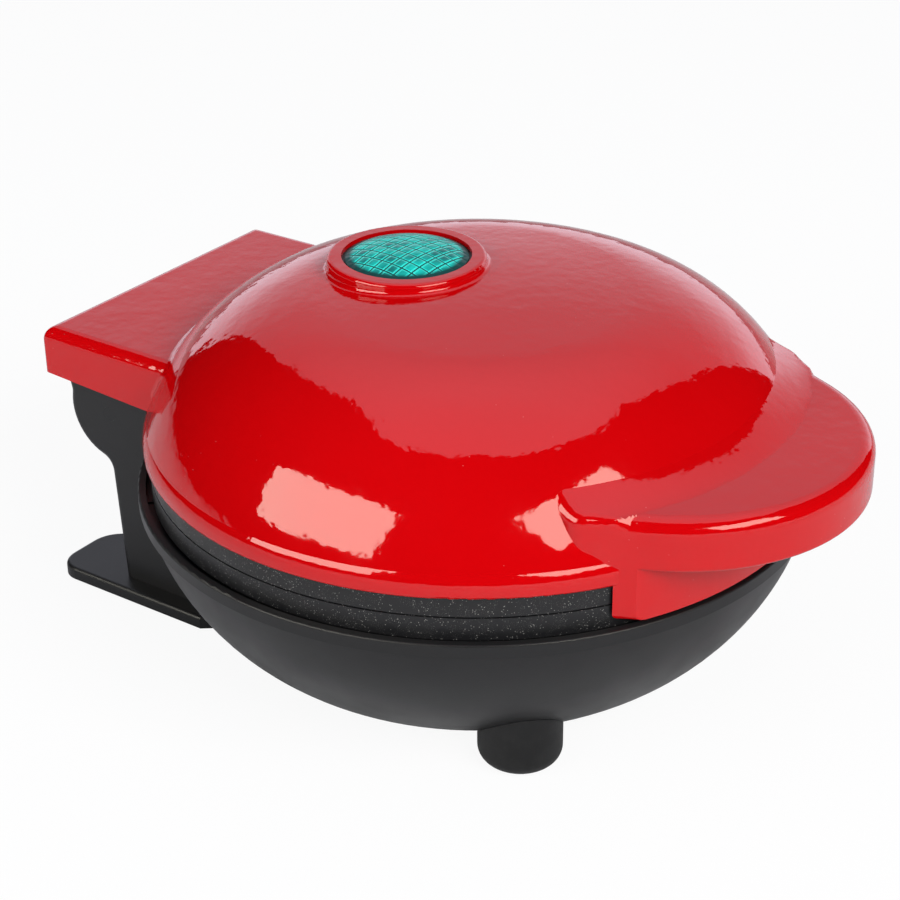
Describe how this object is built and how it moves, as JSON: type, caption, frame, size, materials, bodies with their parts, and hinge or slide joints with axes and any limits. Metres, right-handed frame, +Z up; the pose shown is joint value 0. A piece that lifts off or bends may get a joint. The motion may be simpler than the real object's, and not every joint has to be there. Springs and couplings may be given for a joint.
{
  "type": "bubble waffle maker",
  "caption": "Small round countertop waffle maker with bubble-cup plates, a domed hinged lid with a front grip, and a bowl base on feet.",
  "frame": {"origin": "on the surface that it stands on, below the centre of the whole object's box", "axes": "+Z up, +Y from the grip towards the hinge, +X across the hinge axis"},
  "size_m": [0.1302, 0.1618, 0.0777],
  "materials": {
    "red_shell": "high-gloss red moulded plastic",
    "black_housing": "satin black moulded plastic",
    "plate_coating": "cast aluminium with a speckled dark non-stick coat",
    "teal_lens": "clear teal plastic with a prism grid inside",
    "black_rubber": "black rubber",
    "foot_rubber": "matt black rubber",
    "heat_plastic": "off-white heat-resistant plastic",
    "lamp_glass": "clear glass",
    "steel": "zinc-plated steel",
    "shield_metal": "bright pressed steel sheet",
    "element_sheath": "dark heat-tinted steel tube",
    "fuse_metal": "tinned metal case"
  },
  "bodies": {
    "lid": {"lid_shell": "red_shell", "indicator_lens": "teal_lens", "lens_gasket": "black_rubber", "lamp_holder": "heat_plastic", "indicator_lamp": "lamp_glass", "upper_plate": "plate_coating", "upper_plate_screws": "steel", "upper_element": "element_sheath", "upper_shield": "shield_metal", "thermal_fuse": "fuse_metal", "fuse_clip": "steel"},
    "base": {"base_housing": "black_housing", "lower_plate": "plate_coating", "lower_plate_screws": "steel", "lower_element": "element_sheath", "lower_shield": "shield_metal", "thermostat": "heat_plastic", "thermostat_strap": "steel", "hinge_pins": "steel", "front_feet": "foot_rubber", "rear_foot_pads": "foot_rubber", "cord_gland": "black_rubber", "terminal_block": "heat_plastic"}
  },
  "joints": [
    {"name": "lid_hinge", "type": "hinge", "parent": "base", "child": "lid", "pos_m": [0, 0.0656, 0.0402], "axis": [-1, 0, 0], "range_deg": [0, 95]}
  ]
}
